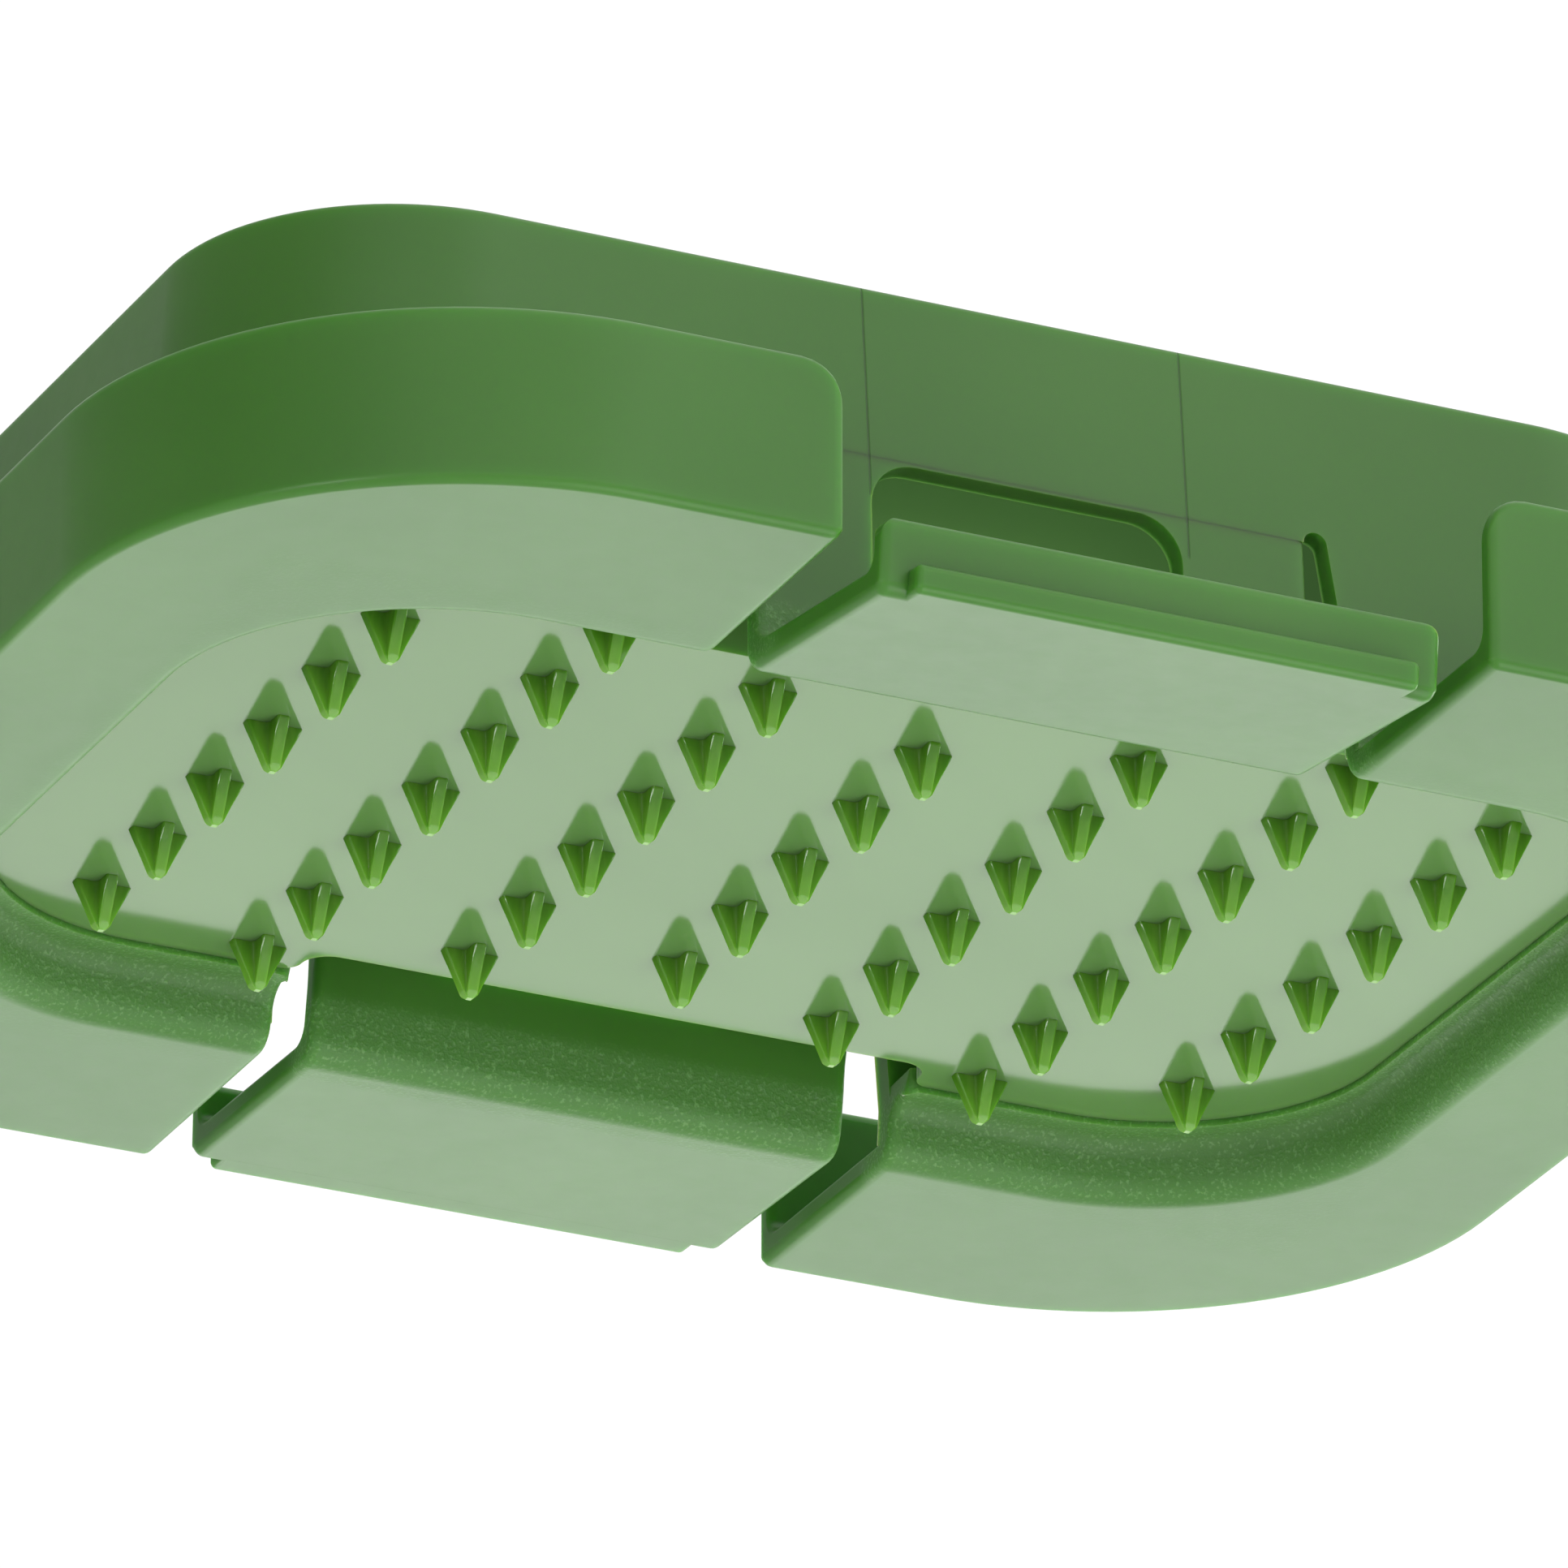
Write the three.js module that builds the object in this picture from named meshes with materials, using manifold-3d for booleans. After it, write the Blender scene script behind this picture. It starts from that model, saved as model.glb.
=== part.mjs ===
// Hand guard and food holder for a vegetable slicer, in millimetres, +Z up.
//
// A hollow palm block, closed at the top, stands inside a wide brim with an upturned rim. A plate with
// moulded pins closes the block from below, so the pins point down at the food. Two sprung tongues, cut
// free of the block's long walls, carry the snap clips that fit between the ends of the rim.
//
// X runs along the clips and Y across them; the base of the whole guard lies on Z = 0.

import * as THREE from 'three';
import { mergeVertices } from 'three/addons/utils/BufferGeometryUtils.js';
import Module from 'manifold-3d';

// Pins: odd columns hold one pin more than even ones, and the middle one is short, between the clips.
const COLUMN_PITCH = 14.2;
const ROW_PITCH = 10.0;
const PIN_HEIGHT = 3.5;
const PIN_SPAN = 4.2;
const PIN_FIN_THICKNESS = 1.0;
const PIN_FILLET = 0.35;
const PIN_TIP_SCALE = 0.13;
const PINS_PER_COLUMN = [6, 7, 6, 5, 6, 7, 6];

// Pin plate: a platform that fills the opening of the lip, and a ledge that rests on the lip.
const PLATE_END_MARGIN = 10.7;
const PLATE_SIDE_MARGIN = 3.0;
const PLATE_CORNER = 16.5;
const PLATE_LEDGE_WIDTH = 2.6;
const PLATE_LEDGE_THICKNESS = 1.8;
const FIT_GAP = 0.3;

// Lip and recess: the plate's underside sits a little above the lip's, and an ogee leads to the brim.
const LIP_DROP = 0.6;
const LIP_THICKNESS = 2.0;
const RECESS_DEPTH = 4.6;
const RECESS_END_RUN = 4.5;
const RECESS_SIDE_RUN = 7.3;
const RECESS_CORNER = 21.0;

// Brim: a flat flange, wider along the clips than at the ends, and its upturned rim.
const FLANGE_END_WIDTH = 10.9;
const FLANGE_SIDE_WIDTH = 18.5;
const FLANGE_THICKNESS = 2.2;
const RIM_HEIGHT = 13.1;
const RIM_THICKNESS = 1.6;
const BRIM_CORNER = 30.0;
const RIM_END_RADIUS = 3.0;
const EDGE_ROUND = 0.5;

// Palm block: walls with draft, and a shallow crown with a flat middle.
const BLOCK_HEIGHT = 31.1;
const BLOCK_WALL = 2.0;
const BLOCK_DRAFT = 0.09;
const BLOCK_STAND_OUT = 1.7;
const BLOCK_STAND_IN = 1.6;
const BLOCK_CORNER = 18.5;
const ROOF_THICKNESS = 2.4;
const CROWN_HEIGHT = 2.4;
const CROWN_RUN = 26.0;

// Posts: pegs on the plate's back fit into tubes that hang from the roof.
const POST_X = 34.0;
const POST_Y = 14.0;
const PEG_RADIUS = 2.4;
const PEG_HEIGHT = 9.0;
const PEG_CLEARANCE = 0.08;
const TUBE_WALL = 1.8;

// Clips: a tongue in each long wall, with a flange, a low wall and a snap bead.
const CLIP_HALF_WIDTH = 21.0;
const SLOT_WIDTH = 3.3;
const SLOT_TOP_WIDTH = 1.8;
const SLOT_TOP = 13.9;
const NOTCH_DEPTH = 3.5;
const CLIP_WALL_HEIGHT = 5.6;
const CLIP_WALL_THICKNESS = 1.6;
const CLIP_INSET = 0.0;
const BEAD_HEIGHT = 2.1;
const BEAD_HALF_LENGTH = 18.9;
const BEAD_STAND_OUT = 1.6;
const FLEX_GAP = 0.3;

// The set of each tongue: how far it has bent by its foot, clip down positive.
const NEAR_CLIP_SET_DEG = 7.3;
const FAR_CLIP_SET_DEG = -1.7;
const BEND_LEVELS = 5;

// Relief window in each tongue.
const WINDOW_HALF_WIDTH = 11.5;
const WINDOW_TOP = 12.7;
const WINDOW_BOTTOM = 3.5;
const WINDOW_RADIUS = 3.4;

const CORNER_STEPS = 6;

const plateX = 3 * COLUMN_PITCH + PLATE_END_MARGIN;
const plateY = 3 * ROW_PITCH + PLATE_SIDE_MARGIN;
const recessX = plateX + RECESS_END_RUN;
const recessY = plateY + RECESS_SIDE_RUN;
const brimX = recessX + FLANGE_END_WIDTH;
const brimY = recessY + FLANGE_SIDE_WIDTH;
const notchY = plateY - NOTCH_DEPTH;
const flangeBottom = -RECESS_DEPTH;
const flangeTop = flangeBottom + FLANGE_THICKNESS;
const rimTop = flangeBottom + RIM_HEIGHT;
const lipTop = LIP_THICKNESS - LIP_DROP;
const ledgeTop = lipTop + FIT_GAP + PLATE_LEDGE_THICKNESS;
const blockTop = flangeBottom + BLOCK_HEIGHT;
const roofBottom = blockTop - ROOF_THICKNESS;
const clipOuterY = brimY - CLIP_INSET;
const beadY = clipOuterY + BEAD_STAND_OUT;

const wasm = await Module();
wasm.setup();

function solid(geometry) {
  const bare = geometry.clone();
  bare.deleteAttribute('normal');
  bare.deleteAttribute('uv');
  const merged = mergeVertices(bare, 1e-4);
  const vertProperties = new Float32Array(merged.attributes.position.array);
  const triVerts = new Uint32Array(merged.index.array);
  return new wasm.Manifold(new wasm.Mesh({ numProp: 3, vertProperties, triVerts }));
}

function geometryOf(body) {
  const mesh = body.getMesh();
  const geometry = new THREE.BufferGeometry();
  geometry.setAttribute('position', new THREE.BufferAttribute(new Float32Array(mesh.vertProperties), 3));
  geometry.setIndex(new THREE.BufferAttribute(new Uint32Array(mesh.triVerts), 1));
  geometry.computeVertexNormals();
  return geometry;
}

// A rounded rectangle at one height: half length x, half width y, corner radius r.
function ring(z, x, y, r) {
  return { z, x, y, r };
}

// A solid whose section is a rounded rectangle that changes from ring to ring.
function loft(rings) {
  const outline = new THREE.Shape();
  outline.absarc(1, 1, 1, 0, Math.PI / 2);
  outline.absarc(-1, 1, 1, Math.PI / 2, Math.PI);
  outline.absarc(-1, -1, 1, Math.PI, 1.5 * Math.PI);
  outline.absarc(1, -1, 1, 1.5 * Math.PI, 2 * Math.PI);
  outline.closePath();
  const count = rings.length - 1;
  const geometry = new THREE.ExtrudeGeometry(outline, {
    depth: count, steps: count, curveSegments: CORNER_STEPS, bevelEnabled: false,
  });
  const position = geometry.attributes.position;
  for (let i = 0; i < position.count; i += 1) {
    const level = rings[Math.round(position.getZ(i))];
    const sideX = Math.sign(position.getX(i));
    const sideY = Math.sign(position.getY(i));
    const x = sideX * (level.x - level.r) + (position.getX(i) - sideX) * level.r;
    const y = sideY * (level.y - level.r) + (position.getY(i) - sideY) * level.r;
    position.setXYZ(i, x, y, level.z);
  }
  return solid(geometry);
}

function box(x0, x1, y0, y1, z0, z1) {
  const geometry = new THREE.BoxGeometry(x1 - x0, y1 - y0, z1 - z0);
  geometry.translate((x0 + x1) / 2, (y0 + y1) / 2, (z0 + z1) / 2);
  return solid(geometry);
}

function shapeOf(points) {
  return new THREE.Shape(points.map(([x, y]) => new THREE.Vector2(x, y)));
}

// A prism along Y from a shape drawn in X and Z.
function prismAlongY(shape, y0, y1) {
  const geometry = new THREE.ExtrudeGeometry(shape, {
    depth: y1 - y0, curveSegments: 4, bevelEnabled: false,
  });
  geometry.rotateX(Math.PI / 2);
  geometry.translate(0, y1, 0);
  return solid(geometry);
}

// A prism along X, centred, from a shape drawn in Y and Z.
function prismAlongX(shape, halfLength) {
  const geometry = new THREE.ExtrudeGeometry(shape, {
    depth: 2 * halfLength, curveSegments: 4, bevelEnabled: false,
  });
  geometry.translate(0, 0, -halfLength);
  geometry.rotateY(Math.PI / 2);
  geometry.rotateX(Math.PI / 2);
  return solid(geometry);
}

function cylinder(radius, x, y, z0, z1) {
  const geometry = new THREE.CylinderGeometry(radius, radius, z1 - z0, 24);
  geometry.rotateX(Math.PI / 2);
  geometry.translate(x, y, (z0 + z1) / 2);
  return solid(geometry);
}

function mirrored(body) {
  return body.mirror([0, 1, 0]);
}

// Outer half sizes of the palm block at a height; the walls lean in by the draft.
function blockX(z) {
  return recessX + BLOCK_STAND_OUT - (z - flangeTop) * BLOCK_DRAFT;
}

function blockY(z) {
  return recessY - BLOCK_STAND_IN - (z - flangeTop) * BLOCK_DRAFT;
}

function blockR(z) {
  return BLOCK_CORNER - (z - flangeTop) * BLOCK_DRAFT / 2;
}

function blockRing(z, inset, height = z) {
  return ring(height, blockX(z) - inset, blockY(z) - inset, blockR(z) - inset);
}

// Height along the ogee between the lip and the flange, for a share of its run from 0 to 1.
function ogee(share) {
  const drop = THREE.MathUtils.smootherstep(share, 0, 0.88);
  return -LIP_DROP - (RECESS_DEPTH - LIP_DROP) * drop;
}

const OGEE_SHARES = [1, 0.78, 0.66, 0.56, 0.46, 0.36, 0.26, 0.12, 0];

function recessRing(share) {
  const x = THREE.MathUtils.lerp(plateX, recessX, share);
  const y = THREE.MathUtils.lerp(plateY, recessY, share);
  const r = THREE.MathUtils.lerp(PLATE_CORNER, RECESS_CORNER, share);
  return ring(ogee(share), x, y, r);
}

// The hollow under the plate, open at the brim's underside and narrowing to the lip's opening.
function recess() {
  const floor = ring(flangeBottom - 1, recessX, recessY, RECESS_CORNER);
  const rings = [floor, ...OGEE_SHARES.map(recessRing)];
  rings.push(ring(lipTop + 1, plateX, plateY, PLATE_CORNER));
  return loft(rings);
}

function brim() {
  const e = EDGE_ROUND;
  const outer = loft([
    ring(flangeBottom, brimX - e, brimY - e, BRIM_CORNER - e),
    ring(flangeBottom + e, brimX, brimY, BRIM_CORNER),
    ring(rimTop - e, brimX, brimY, BRIM_CORNER),
    ring(rimTop, brimX - e, brimY - e, BRIM_CORNER - e),
  ]);
  const t = RIM_THICKNESS;
  const inner = loft([
    ring(flangeTop, brimX - t - 1, brimY - t - 1, BRIM_CORNER - t - 1),
    ring(flangeTop + 1, brimX - t, brimY - t, BRIM_CORNER - t),
    ring(rimTop - e / 2, brimX - t, brimY - t, BRIM_CORNER - t),
    ring(rimTop + 1, brimX - t + e, brimY - t + e, BRIM_CORNER - t + e),
  ]);
  return outer.subtract(inner);
}

function palmBlock() {
  const top = blockTop;
  return loft([
    blockRing(flangeTop - 1, 0),
    blockRing(top - 0.7, 0),
    blockRing(top, 0.6),
    blockRing(top, 0.25 * CROWN_RUN, top + 0.45 * CROWN_HEIGHT),
    ring(top + 0.85 * CROWN_HEIGHT, blockX(top) - 0.6 * CROWN_RUN, blockY(top) - 0.6 * CROWN_RUN, 8),
    ring(top + CROWN_HEIGHT, blockX(top) - CROWN_RUN, blockY(top) - CROWN_RUN, 4),
  ]);
}

function cavity() {
  return loft([blockRing(lipTop, BLOCK_WALL), blockRing(roofBottom, BLOCK_WALL)]);
}

// The opening that frees one clip: slots at both sides, rounded at the top, and all between them.
function clipOpening() {
  const low = CLIP_HALF_WIDTH + SLOT_WIDTH;
  const high = CLIP_HALF_WIDTH + SLOT_TOP_WIDTH;
  const r = SLOT_TOP_WIDTH / 2;
  const shape = new THREE.Shape();
  shape.moveTo(-low, flangeBottom - 1);
  shape.lineTo(low, flangeBottom - 1);
  shape.lineTo(low, 0);
  shape.lineTo(high, SLOT_TOP - r);
  shape.absarc(high - r, SLOT_TOP - r, r, 0, Math.PI / 2);
  shape.lineTo(r - high, SLOT_TOP);
  shape.absarc(r - high, SLOT_TOP - r, r, Math.PI / 2, Math.PI);
  shape.lineTo(-low, 0);
  shape.closePath();
  return prismAlongY(shape, notchY, brimY + 1);
}

// What is cut from the rim so that its ends beside a clip have rounded top corners.
function rimEndCut(side) {
  const r = RIM_END_RADIUS;
  const x = CLIP_HALF_WIDTH + SLOT_WIDTH;
  const shape = new THREE.Shape();
  shape.moveTo(side * (x - 1), rimTop - r);
  shape.lineTo(side * x, rimTop - r);
  shape.absarc(side * (x + r), rimTop - r, r, side > 0 ? Math.PI : 0, Math.PI / 2, side > 0);
  shape.lineTo(side * (x + r), rimTop + 1);
  shape.lineTo(side * (x - 1), rimTop + 1);
  shape.closePath();
  return prismAlongY(shape, brimY - RIM_THICKNESS - 2, brimY + 1);
}

function forPosts(make) {
  const bodies = [];
  for (const x of [-POST_X, POST_X]) {
    for (const y of [-POST_Y, POST_Y]) {
      bodies.push(make(x, y));
    }
  }
  return bodies;
}

function guardBody() {
  let body = brim().add(palmBlock()).subtract(recess()).subtract(cavity());
  const tubeRadius = PEG_RADIUS + PEG_CLEARANCE + TUBE_WALL;
  for (const tube of forPosts((x, y) => cylinder(tubeRadius, x, y, ledgeTop + FIT_GAP, roofBottom + 1))) {
    body = body.add(tube);
  }
  const bore = PEG_RADIUS + PEG_CLEARANCE;
  for (const hole of forPosts((x, y) => cylinder(bore, x, y, ledgeTop - 1, ledgeTop + PEG_HEIGHT + 1))) {
    body = body.subtract(hole);
  }
  const cuts = [clipOpening(), rimEndCut(-1), rimEndCut(1)];
  for (const cut of cuts) {
    body = body.subtract(cut).subtract(mirrored(cut));
  }
  return body;
}

// One pin: four tapering fins in a cross, with a fillet between neighbours, on a foot inside the plate.
function pin(x, y) {
  const reach = PIN_SPAN / 2;
  const half = PIN_FIN_THICKNESS / 2;
  const inner = half + PIN_FILLET;
  const points = [];
  for (let turn = 0; turn < 4; turn += 1) {
    const c = Math.round(Math.cos(turn * Math.PI / 2));
    const s = Math.round(Math.sin(turn * Math.PI / 2));
    for (const [u, v] of [[reach, -half], [reach, half], [inner, inner]]) {
      points.push([u * c - v * s, u * s + v * c]);
    }
  }
  const geometry = new THREE.ExtrudeGeometry(shapeOf(points), { depth: 3, steps: 3, bevelEnabled: false });
  const heights = [1, 0, -0.55 * PIN_HEIGHT, -PIN_HEIGHT];
  const scales = [1, 1, 0.62, PIN_TIP_SCALE];
  const position = geometry.attributes.position;
  for (let i = 0; i < position.count; i += 1) {
    const level = 3 - Math.round(position.getZ(i));
    const scale = scales[level];
    position.setXYZ(i, x + position.getX(i) * scale, y + position.getY(i) * scale, heights[level]);
  }
  return solid(geometry);
}

function pinPlate() {
  const gap = FIT_GAP;
  const foot = lipTop + gap;
  const wide = PLATE_LEDGE_WIDTH;
  const platform = loft([
    ring(0, plateX - gap, plateY - gap, PLATE_CORNER - gap),
    ring(foot + 0.5, plateX - gap, plateY - gap, PLATE_CORNER - gap),
  ]);
  const ledge = loft([
    ring(foot, plateX + wide, plateY + wide, PLATE_CORNER + wide),
    ring(ledgeTop, plateX + wide, plateY + wide, PLATE_CORNER + wide),
  ]);
  const notchHalf = CLIP_HALF_WIDTH + SLOT_WIDTH;
  const notch = box(-notchHalf, notchHalf, notchY, plateY + 10, -1, ledgeTop + 1);
  let plate = platform.add(ledge).subtract(notch).subtract(mirrored(notch));
  PINS_PER_COLUMN.forEach((count, column) => {
    for (let row = 0; row < count; row += 1) {
      plate = plate.add(pin((column - 3) * COLUMN_PITCH, (row - (count - 1) / 2) * ROW_PITCH));
    }
  });
  for (const peg of forPosts((x, y) => cylinder(PEG_RADIUS, x, y, ledgeTop - 1, ledgeTop + PEG_HEIGHT))) {
    plate = plate.add(peg);
  }
  return plate;
}

// Section of the tongue and clip on the +Y side, drawn in Y and Z from the root down and round.
function clipSection() {
  const root = SLOT_TOP - FLEX_GAP;
  const t = CLIP_WALL_THICKNESS;
  const e = EDGE_ROUND;
  const wallTop = flangeBottom + CLIP_WALL_HEIGHT;
  const levels = [];
  for (let i = 0; i <= BEND_LEVELS; i += 1) {
    levels.push(THREE.MathUtils.lerp(root, lipTop, i / BEND_LEVELS));
  }
  const points = levels.map((z) => [blockY(z) - BLOCK_WALL, z]);
  const startY = blockY(0) - BLOCK_WALL;
  for (const share of [...OGEE_SHARES].reverse()) {
    points.push([THREE.MathUtils.lerp(startY, recessY, share), ogee(share)]);
  }
  points.push([clipOuterY - e, flangeBottom]);
  points.push([clipOuterY, flangeBottom + e]);
  points.push([clipOuterY, wallTop - e]);
  points.push([clipOuterY - e, wallTop]);
  points.push([clipOuterY - t, wallTop]);
  points.push([clipOuterY - t, flangeTop + 0.8]);
  points.push([clipOuterY - t - 0.8, flangeTop]);
  points.push([blockY(flangeTop) + 1.2, flangeTop]);
  points.push([blockY(flangeTop) + 0.1, flangeTop + 1.2]);
  for (const z of [...levels].reverse()) {
    points.push([blockY(z), z]);
  }
  return shapeOf(points);
}

function snapBead() {
  const shape = shapeOf([
    [clipOuterY - 0.8, flangeBottom + 0.4],
    [beadY - 0.6, flangeBottom + 0.1],
    [beadY, flangeBottom + 0.7],
    [beadY, flangeBottom + BEAD_HEIGHT - 0.4],
    [beadY - 0.4, flangeBottom + BEAD_HEIGHT],
    [clipOuterY - 0.8, flangeBottom + BEAD_HEIGHT],
  ]);
  return prismAlongX(shape, BEAD_HALF_LENGTH);
}

function windowCut() {
  const r = WINDOW_RADIUS;
  const x = WINDOW_HALF_WIDTH;
  const shape = new THREE.Shape();
  shape.moveTo(-x, WINDOW_BOTTOM);
  shape.lineTo(x, WINDOW_BOTTOM);
  shape.lineTo(x, WINDOW_TOP - r);
  shape.absarc(x - r, WINDOW_TOP - r, r, 0, Math.PI / 2);
  shape.lineTo(r - x, WINDOW_TOP);
  shape.absarc(r - x, WINDOW_TOP - r, r, Math.PI / 2, Math.PI);
  shape.closePath();
  return prismAlongY(shape, notchY, recessY + 1);
}

function snapClip() {
  return prismAlongX(clipSection(), CLIP_HALF_WIDTH).add(snapBead()).subtract(windowCut());
}

const GREEN = new THREE.Color(0x5f9a4a);

function piece(name, body, roughness) {
  const material = new THREE.MeshStandardMaterial({ color: GREEN, roughness, metalness: 0 });
  const mesh = new THREE.Mesh(geometryOf(body), material);
  mesh.name = name;
  return mesh;
}

// Bends a clip the way its tongue does: the turn grows evenly from the root to the foot.
function bent(clip, angleDeg) {
  const turn = THREE.MathUtils.degToRad(angleDeg);
  const length = SLOT_TOP - lipTop;
  const radius = length / turn;
  const middle = blockY(SLOT_TOP) - BLOCK_WALL / 2;
  return clip.warp((v) => {
    const down = THREE.MathUtils.clamp(SLOT_TOP - v[2], 0, length);
    const here = (turn * down) / length;
    const out = v[1] - middle;
    const past = SLOT_TOP - v[2] - down;
    v[1] = middle - radius * (1 - Math.cos(here)) + out * Math.cos(here) - past * Math.sin(here);
    v[2] = SLOT_TOP - radius * Math.sin(here) - out * Math.sin(here) - past * Math.cos(here);
  });
}

const model = new THREE.Group();
model.add(piece('guard_body', guardBody(), 0.4));
model.add(piece('pin_plate', pinPlate(), 0.2));
model.add(piece('clip_far', bent(snapClip(), FAR_CLIP_SET_DEG), 0.35));
model.add(piece('clip_near', mirrored(bent(snapClip(), NEAR_CLIP_SET_DEG)), 0.35));

const guard = new THREE.Group();
guard.add(model);
guard.updateMatrixWorld(true);
const extent = new THREE.Box3().setFromObject(guard, true);
model.position.y = -(extent.min.y + extent.max.y) / 2;
model.position.z = -extent.min.z;

export default guard;
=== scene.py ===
"""Hand guard of a vegetable slicer: looks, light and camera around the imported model.

Sizes are in millimetres unless a name or a comment says otherwise.
"""

import math

import bmesh
import bpy
from mathutils import Matrix, Vector


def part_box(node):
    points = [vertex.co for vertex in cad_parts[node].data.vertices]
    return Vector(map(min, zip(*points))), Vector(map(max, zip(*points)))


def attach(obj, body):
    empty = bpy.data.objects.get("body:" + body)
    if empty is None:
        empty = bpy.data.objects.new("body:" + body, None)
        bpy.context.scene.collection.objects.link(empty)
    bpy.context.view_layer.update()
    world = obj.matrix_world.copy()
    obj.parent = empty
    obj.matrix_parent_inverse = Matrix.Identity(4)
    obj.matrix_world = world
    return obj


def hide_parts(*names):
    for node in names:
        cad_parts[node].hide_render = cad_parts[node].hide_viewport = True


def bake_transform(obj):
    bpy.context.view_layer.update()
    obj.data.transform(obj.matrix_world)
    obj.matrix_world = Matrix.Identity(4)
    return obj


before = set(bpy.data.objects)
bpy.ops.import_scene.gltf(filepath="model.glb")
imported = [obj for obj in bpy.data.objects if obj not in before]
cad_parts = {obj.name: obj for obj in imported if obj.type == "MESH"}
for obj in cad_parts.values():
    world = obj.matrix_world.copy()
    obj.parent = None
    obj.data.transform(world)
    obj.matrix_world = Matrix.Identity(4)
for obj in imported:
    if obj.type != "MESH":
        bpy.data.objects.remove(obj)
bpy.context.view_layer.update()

MM = 0.001

# Pins and plate
COLUMN_PITCH = 14.2
ROW_PITCH = 10.0
PIN_HEIGHT = 3.5
PIN_SPAN = 4.2
PIN_CORE = 0.46
PIN_BEVEL = 0.13
PIN_SUNK = 0.6
PINS_PER_COLUMN = (6, 7, 6, 5, 6, 7, 6)
PLATE_X = 3 * COLUMN_PITCH + 10.7
PLATE_Y = 3 * ROW_PITCH + 3.0
PLATE_CORNER = 16.5
PLATE_SEAM = 0.015
PLATE_TOP = 3.4
PLATE_EDGE = 0.04
NOTCH_Y = PLATE_Y - 3.5
UPSTAND_X = 20.0
UPSTAND_TOP = 19.0
UPSTAND_NEAR = 0.4
UPSTAND_FAR = 2.0

# Lip, recess and brim
LIP_BOTTOM = -0.5
LIP_TOP = 1.4
RECESS_X = PLATE_X + 4.5
RECESS_Y = PLATE_Y + 7.3
RECESS_CORNER = 21.0
BRIM_X = RECESS_X + 10.9
BRIM_Y = RECESS_Y + 18.5
BRIM_CORNER = 30.0
FLANGE_BOTTOM = -4.6
FLANGE_TOP = -2.4
FLANGE_EDGE = 0.7
RIM_TOP = 8.5
RIM_THICKNESS = 1.6
RIM_FOOT = 1.2
RIM_END_RADIUS = 3.0
EDGE_RADIUS = 0.8
LIP_END_RADIUS = 1.2
# The rounding of an end starts a little further in, so that the flat end face is shaded flat.
FLAT_END = 1.05

# Palm block
BLOCK_TOP = 26.5
BLOCK_WALL = 2.0
BLOCK_DRAFT = 0.09
BLOCK_CORNER = 18.5
BLOCK_STAND_OUT = 1.7
BLOCK_STAND_IN = 1.6
BLOCK_EDGE = 0.8
BRIM_OVERLAP = 0.3
ROOF_BOTTOM = BLOCK_TOP - 2.4
CROWN_HEIGHT = 2.4
CROWN_RUN = 26.0

# Clips
CLIP_X = 21.0
SLOT_X = CLIP_X + 3.3
SLOT_TOP_X = CLIP_X + 1.8
SLOT_TOP = 13.9
TONGUE_ROOT = SLOT_TOP - (SLOT_TOP_X - CLIP_X) / 2
CLIP_Y = BRIM_Y
CLIP_WALL_TOP = FLANGE_BOTTOM + 5.6
CLIP_WALL = 1.6
BEAD_X = 18.9
BEAD_Y = CLIP_Y + 1.48
BEAD_HEIGHT = 2.1
BEAD_BACK = 1.1
BEAD_END_RADIUS = 0.5
NEAR_SET = math.radians(7.05)
FAR_SET = math.radians(-1.7)
WINDOW_LEFT = -12.2
WINDOW_RIGHT = 11.5
WINDOW_TOP = 12.7
WINDOW_BOTTOM = 3.5
WINDOW_RADIUS = 3.4
WINDOW_BOTTOM_RADIUS = 1.5
WINDOW_EDGE = 0.35
SLOT_EDGE = 0.3
WALL_CORNER = 1.5

# The plate's underside is the zero of the heights above, and its middle that of the widths.
plate_low, plate_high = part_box("pin_plate")
PLATE_Z = plate_low[2] / MM + PIN_HEIGHT
MIDDLE_Y = (plate_low[1] + plate_high[1]) / 2 / MM

CORNER_STEPS = 28
CROWN_STEPS = 14
END_STEPS = 6
PIN_LEVELS = 14
TONGUE_LEVELS = 14
SHARP_ANGLE = math.radians(50)


# ---------------------------------------------------------------- mesh helpers

def mesh_object(name, vertices, faces):
    """A mesh object from points in millimetres over the plate's underside."""
    mesh = bpy.data.meshes.new(name)
    placed = [(x * MM, (y + MIDDLE_Y) * MM, (z + PLATE_Z) * MM) for x, y, z in vertices]
    mesh.from_pydata(placed, [], faces)
    mesh.validate()
    piece = bpy.data.objects.new(name, mesh)
    bpy.context.scene.collection.objects.link(piece)
    face_outward(piece)
    return piece


def face_outward(piece):
    bm = bmesh.new()
    bm.from_mesh(piece.data)
    bmesh.ops.recalc_face_normals(bm, faces=bm.faces)
    bm.to_mesh(piece.data)
    bm.free()


def bake(piece):
    """Applies the piece's modifiers to its own mesh."""
    graph = bpy.context.evaluated_depsgraph_get()
    graph.update()
    mesh = bpy.data.meshes.new_from_object(piece.evaluated_get(graph))
    piece.modifiers.clear()
    piece.data = mesh


def boolean(piece, tool, operation):
    modifier = piece.modifiers.new(operation, "BOOLEAN")
    modifier.operation = operation
    modifier.solver = "EXACT"
    modifier.object = tool
    bake(piece)
    bpy.data.objects.remove(tool)


def bevel(piece, width, angle):
    """Rounds every edge sharper than an angle in degrees."""
    modifier = piece.modifiers.new("round", "BEVEL")
    modifier.width = width * MM
    modifier.segments = 3
    modifier.limit_method = "ANGLE"
    modifier.angle_limit = math.radians(angle)
    modifier.miter_outer = "MITER_ARC"
    modifier.use_clamp_overlap = True
    bake(piece)


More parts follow.
